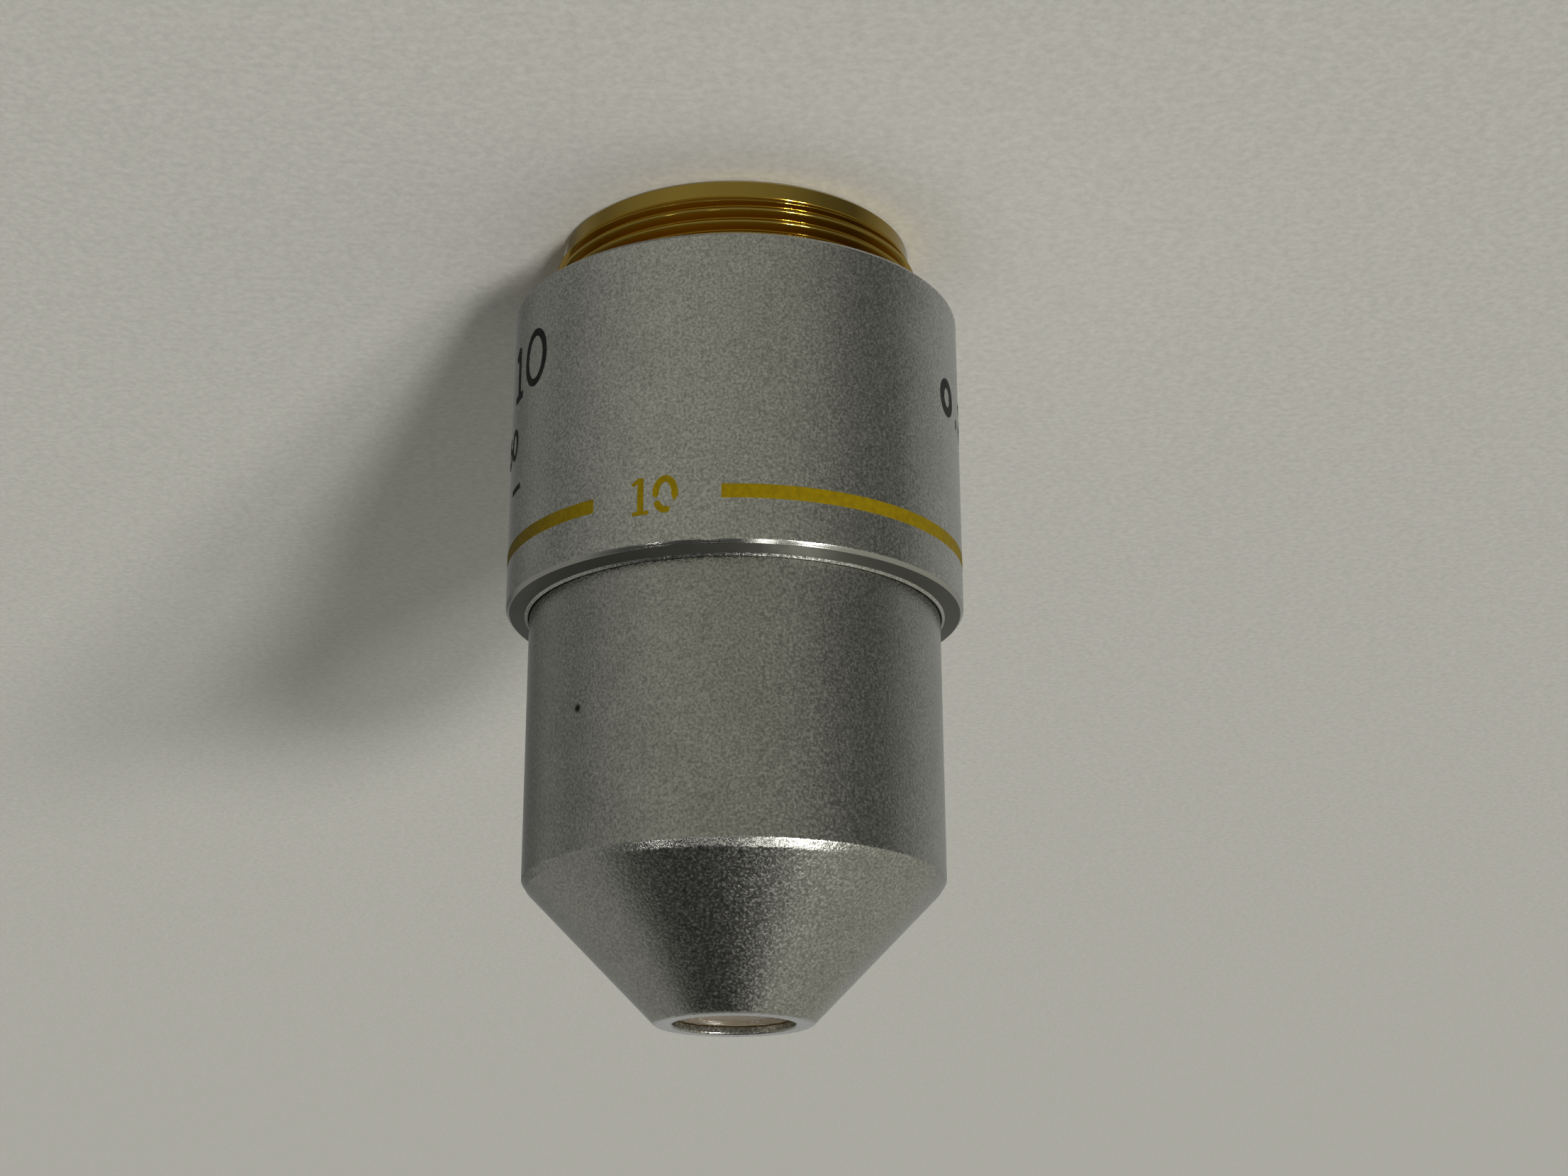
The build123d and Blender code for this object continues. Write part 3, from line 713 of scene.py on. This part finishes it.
# %% Mount body
FIT = 0.02
RELIEF, RELIEF_EASE = 9.60, 0.08  # undercut between the thread and the shoulder
SPIGOT_RECESS = 0.1
SKIRT, SKIRT_RUN = 9.60, 6.0
GUIDE_BORE, GUIDE_END = 8.32, 4.2  # where the lens tube slides
LIGHT_BORE = 7.80
PILOT, PILOT_BEVEL, PILOT_EASE = 9.75, 0.22, 0.06
hub_radius, mount_rear, skirt_front = size_of("mount_body")
baffle_radius, baffle_rear, baffle_front = size_of("rear_baffle")
hub_front = skirt_front - SKIRT_RUN
mount_outline = [
    (ROOT, THREAD_END),
    (RELIEF, THREAD_END + RELIEF_EASE),
    (RELIEF, SPIGOT_RECESS),
    (LIP_BORE - FIT, SPIGOT_RECESS),
    (LIP_BORE - FIT, LIP),
    (hub_radius, LIP),
    (hub_radius, hub_front),
    (SKIRT, hub_front),
    (SKIRT, skirt_front),
    (GUIDE_BORE, skirt_front),
    (GUIDE_BORE, GUIDE_END),
    (LIGHT_BORE, GUIDE_END),
    (LIGHT_BORE, baffle_front),
    (baffle_radius + FIT, baffle_front),
    (baffle_radius + FIT, mount_rear),
    (PILOT - PILOT_BEVEL, mount_rear),
    (PILOT, mount_rear + PILOT_BEVEL),
    (PILOT, THREAD_START - PILOT_EASE),
    (ROOT, THREAD_START),
]


def mount_finish(face):
    """Blackened in the bore, and lacquered elsewhere."""
    return blackened if looks_inward(face) else lacquered


mount = turned("mount_brass", mount_outline, mount_finish, closed=False)

# %% Thread joined to the mount body
joined = bmesh.new()
joined.from_mesh(mount.data)
turned_faces = len(joined.faces)
joined.from_mesh(thread_mesh)
joined.faces.ensure_lookup_table()
for face in joined.faces[turned_faces:]:
    face.material_index = mount.data.materials.find(lacquered.name)
bmesh.ops.remove_doubles(joined, verts=joined.verts, dist=WELD / 2)
bmesh.ops.recalc_face_normals(joined, faces=joined.faces)
print("open edges:", sum(edge.is_boundary for edge in joined.edges))
joined.to_mesh(mount.data)
joined.free()
for face in mount.data.polygons:
    face.use_smooth = True
finished(mount, "lacquered_brass", "mount_body")

# %% [markdown]
# ## The lenses
# Each lens is a solid of glass between two spheres. A cemented pair is drawn as one body with its two outer
# surfaces, because no light is lost at the cement and a double wall of glass would only show as a fault. A
# sphere's radius is positive where its centre lies behind the surface, seen from the nose.

# %% Lenses
ROUNDS = 14  # steps from the middle of a surface to its edge
FLAT_RIM = 0.25  # the front lens is polished only inside this rim
LENSES = (  # a name, the radii of the front and rear spheres, the rim, and the CAD nodes from the front
    ("front_glass", -9.0, 14.51, FLAT_RIM, "front_lens"),
    ("front_doublet_glass", 27.89, -7.75, 0, "front_doublet_crown", "front_doublet_flint"),
    ("middle_doublet_glass", 38.79, -14.54, 0, "middle_doublet_flint", "middle_doublet_crown"),
    ("rear_doublet_glass", 20.41, 28.56, 0, "rear_doublet_crown", "rear_doublet_flint"),
)


def sag(curve, r):
    """How far a sphere lies behind its middle at this radius."""
    return curve - (1 if curve > 0 else -1) * sqrt(curve**2 - r**2)


def glass_piece(name, front, rear, rim, *nodes):
    """Glass between two spheres, placed by its CAD nodes, the front one first."""
    edge, _, highest = size_of(nodes[0])
    lowest = size_of(nodes[-1])[1]
    polished = edge - rim
    front_middle = highest + min(0, sag(front, polished))
    rear_middle = lowest + max(0, sag(rear, edge))
    steps = [k / ROUNDS for k in range(ROUNDS + 1)]
    outline = [(t * polished, front_middle - sag(front, t * polished), 0) for t in steps]
    if rim:
        outline.append((edge, outline[-1][1]))
    outline += [(t * edge, rear_middle - sag(rear, t * edge), 0) for t in reversed(steps)]
    finished(turned(name, outline, glass), "optical_glass", *nodes)


for row in LENSES:
    glass_piece(*row)

# %% [markdown]
# ## The painted band
# The yellow band means ten power. It is paint in a shallow engraved groove, and it stops on both sides
# of the figure. The paint dries a little proud in the middle of the groove, so its outline is a low dome,
# swept round the sleeve from one end of the gap to the other.


# %% Paint on the sleeve
def on_sleeve(turn, z, lift):
    """A point on the sleeve. The angle starts at the camera's side and grows to the picture's left."""
    r = sleeve_radius + lift
    return r * sin(radians(turn)) * MM, -r * cos(radians(turn)) * MM, z * MM


def skin(shape, rows):
    """Faces from row to row of points, closed round each row and capped at both ends."""
    rows = [[shape.verts.new(point) for point in row] for row in rows]
    for low, high in zip(rows, rows[1:]):
        for i in range(len(low)):
            n = (i + 1) % len(low)
            shape.faces.new((low[i], low[n], high[n], high[i]))
    shape.faces.new(rows[0])
    shape.faces.new(rows[-1])


print("the picture's nearest point on the sleeve:", [round(x / MM, 2) for x in on_sleeve(0, 0, 0)])

# %% Band
BAND_START, BAND_END = 35.7, 363.4  # degrees, past the figure and all the way round
BAND_STEPS = 176
BAND_EASE = 0.06  # the paint thins within this distance of the groove's edge, in mm
SUNK, THIN, PROUD = -0.06, 0.008, 0.012
_, band_rear, band_front = size_of("colour_band")
section = (
    (band_rear, SUNK),
    (band_rear, 0.0),
    (band_rear + BAND_EASE, THIN),
    ((band_rear + band_front) / 2, PROUD),
    (band_front - BAND_EASE, THIN),
    (band_front, 0.0),
    (band_front, SUNK),
)
turns = [BAND_START + (BAND_END - BAND_START) * k / BAND_STEPS for k in range(BAND_STEPS + 1)]
shape = bmesh.new()
skin(shape, [[on_sleeve(turn, z, lift) for z, lift in section] for turn in turns])
finished(as_piece("band_painted", shape, enamels["yellow"], smooth=False), "yellow_paint", "colour_band")

# %% [markdown]
# ## The figures
# The figures were engraved by a cutter that follows a pen path, then filled with paint. So each figure here
# is a list of pen strokes with a width, drawn flat in millimetres, wrapped on the sleeve and given a
# little thickness. The yellow nought has lost paint in two places, where its stroke runs out to a point.


# %% Pen paths
def arc(cx, cy, rx, ry, start, end, steps=28):
    """Points on an ellipse from one angle to another, in degrees."""
    turns = [radians(start + (end - start) * k / steps) for k in range(steps + 1)]
    return [(cx + rx * cos(a), cy + ry * sin(a)) for a in turns]


def line(*corners, steps=6):
    """Points along straight runs from corner to corner."""
    points = [corners[0]]
    for (u, v), (to_u, to_v) in zip(corners, corners[1:]):
        points += [(u + (to_u - u) * k / steps, v + (to_v - v) * k / steps) for k in range(1, steps + 1)]
    return points


print("half way round an arc:", [round(x, 2) for x in arc(0, 0, 1, 1, 0, 90, 2)[1]])

# %% Engraved strokes
INK_SUNK, INK_PROUD = -0.05, 0.012
POINT = 0.15  # a tapered stroke ends this wide, as a share of its width
CORNERS = ((-1, INK_SUNK), (-1, INK_PROUD), (1, INK_PROUD), (1, INK_SUNK))


def stroke_rows(points, width, taper_in, taper_out):
    """The four corners of a stroke at each of its points, as (across, up, lift)."""
    travelled = [0.0]
    for a, b in zip(points, points[1:]):
        travelled.append(travelled[-1] + (Vector(b) - Vector(a)).length)
    rows = []
    for i, (u, v) in enumerate(points):
        ahead = Vector(points[min(i + 1, len(points) - 1)]) - Vector(points[max(i - 1, 0)])
        side = Vector((-ahead.y, ahead.x)).normalized() * width / 2
        if taper_in:
            side *= min(1, POINT + travelled[i] / taper_in)
        if taper_out:
            side *= min(1, POINT + (travelled[-1] - travelled[i]) / taper_out)
        rows.append([(u + side.x * s, v + side.y * s, lift) for s, lift in CORNERS])
    return rows


def engraved(name, strokes, turn, z, paint, slot=None):
    """Strokes are (points, width, first taper, last taper), in mm from the figure's left and middle."""
    per_degree = radians(sleeve_radius)
    shape = bmesh.new()
    for stroke in strokes:
        rows = stroke_rows(*stroke)
        skin(shape, [[on_sleeve(turn - u / per_degree, z - v, lift) for u, v, lift in row] for row in rows])
    finished(as_piece(name, shape, enamels[paint], smooth=False), slot)


print("one degree is", round(radians(sleeve_radius), 3), "mm on the sleeve")

# %% Yellow ten
TEN_TURN = 24.9
STEM, PEN = 0.34, 0.35
TALL, FOOT = 0.99, 0.45  # half the figure's height and half the foot of the one
FOOT_PEN, FLAG_PEN = STEM * 0.6, STEM * 0.55
FLAG_START, FLAG_END = STEM * 1.05, STEM * 0.25  # how far the flag of the one lies below its top
NOUGHT = (1.777, 0, 0.505, 0.82)  # middle and half sizes
NOUGHT_STROKES = (  # first and last degree, steps, and the length of the taper at each end
    (-28, 190, 44, 0.35, 0.12),
    (203, 300, 24, 0.12, 0.2),
)
foot_height = -TALL + FOOT_PEN / 2
flag = line((0, TALL - FLAG_START), (FOOT - FOOT_PEN / 2, TALL - FLAG_END))
ten = [
    (line((FOOT, TALL), (FOOT, -TALL)), STEM, 0, 0),
    (line((0, foot_height), (2 * FOOT, foot_height)), FOOT_PEN, 0, 0),
    (flag, FLAG_PEN, 0, 0),
]
for first, last, steps, taper_in, taper_out in NOUGHT_STROKES:
    ten.append((arc(*NOUGHT, first, last, steps), PEN, taper_in, taper_out))
engraved("figure_ten_yellow", ten, TEN_TURN, (band_rear + band_front) / 2, "yellow", "yellow_paint")

# %% [markdown]
# The power, the aperture and the tube length stand in black further round the sleeve, as plain numbers.
# Their pen paths are drawn once in a box one wide and one high, and a number sets them side by side.

# %% Black figures
PATHS = {
    "0": [arc(0.5, 0, 0.5, 0.5, 0, 360, 56)],
    "1": [line((0.5, 0.5), (0.5, -0.5)), line((0.18, -0.5), (0.82, -0.5)), line((0.2, 0.32), (0.5, 0.5))],
    "2": [arc(0.5, 0.22, 0.45, 0.28, 165, -35) + line((0.87, 0.06), (0.04, -0.5), (1.0, -0.5))[1:]],
    "5": [line((0.92, 0.5), (0.14, 0.5), (0.08, 0.04)) + arc(0.5, -0.17, 0.5, 0.33, 140, -150)[1:]],
    "6": [arc(0.9, -0.17, 0.9, 0.67, 100, 180, 20) + arc(0.5, -0.17, 0.5, 0.33, 180, 540, 48)[1:]],
    ".": [line((0.45, -0.5), (0.6, -0.5))],
    "-": [line((0.0, 0.0), (1.0, 0.0))],
}
FIGURES = (  # a name, its text, its degrees and height on the sleeve, and its height, width, pen and gap
    ("figure_power", "10", 75.8, 4.44, 2.86, 2.06, 0.42, 0.31),
    ("figure_aperture", "0.25", -63.5, 6.12, 1.64, 1.38, 0.54, 0.5),
    ("figure_tube", "160", 91.0, 8.4, 1.5, 1.1, 0.3, 0.45),
    ("figure_dash", "-", 75.0, 11.15, 1.5, 1.5, 0.3, 0.0),
)


def number(text, height, width, pen, gap):
    """Figures of this height and width in mm, with a gap between them."""
    strokes = []
    for place, mark in enumerate(text):
        start = place * (width + gap)
        for path in PATHS[mark]:
            strokes.append(([(start + u * width, v * height) for u, v in path], pen, 0, 0))
    return strokes


for name, text, turn, z, *sizing in FIGURES:
    engraved(name, number(text, *sizing), turn, z, "black")

# %% [markdown]
# ## The rear baffle
# A black ring narrows the bore at the thread and shows from behind. It is turned again so that its edges
# shade smoothly, with the bevel on the side that faces out.

# %% Baffle
OVERHANG, BAFFLE_BEVEL = 2.2, 0.6
opening = baffle_radius - OVERHANG
baffle_outline = [
    (opening, baffle_front),
    (baffle_radius, baffle_front),
    (baffle_radius, baffle_rear),
    (opening + BAFFLE_BEVEL, baffle_rear),
    (opening, baffle_rear + BAFFLE_BEVEL),
]
finished(turned("baffle_blackened", baffle_outline, blackened), "blackened_brass", "rear_baffle")

# %% [markdown]
# ## The pieces inside
# The rest of the lens train keeps its CAD shape and only takes its finish. The cells, spacers and rings are
# black. The front cell shows as a bare brass rim round the front lens.

# %% Finishes of the inner pieces
black_pieces = (
    "lens_tube",
    "parfocal_shim",
    "middle_cell",
    "rear_cell",
    "front_spacer",
    "rear_spacer",
    "aperture_stop",
    "front_retainer",
    "middle_retainer",
    "rear_retainer",
    "lock_ring",
)
finishes = {name: blackened for name in black_pieces} | {"front_cell": bare}
for name, finish in finishes.items():
    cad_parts[name].material_slots[0].material = finish
print("finished", len(finishes), "inner pieces")

# %% Finish
print("scene built")
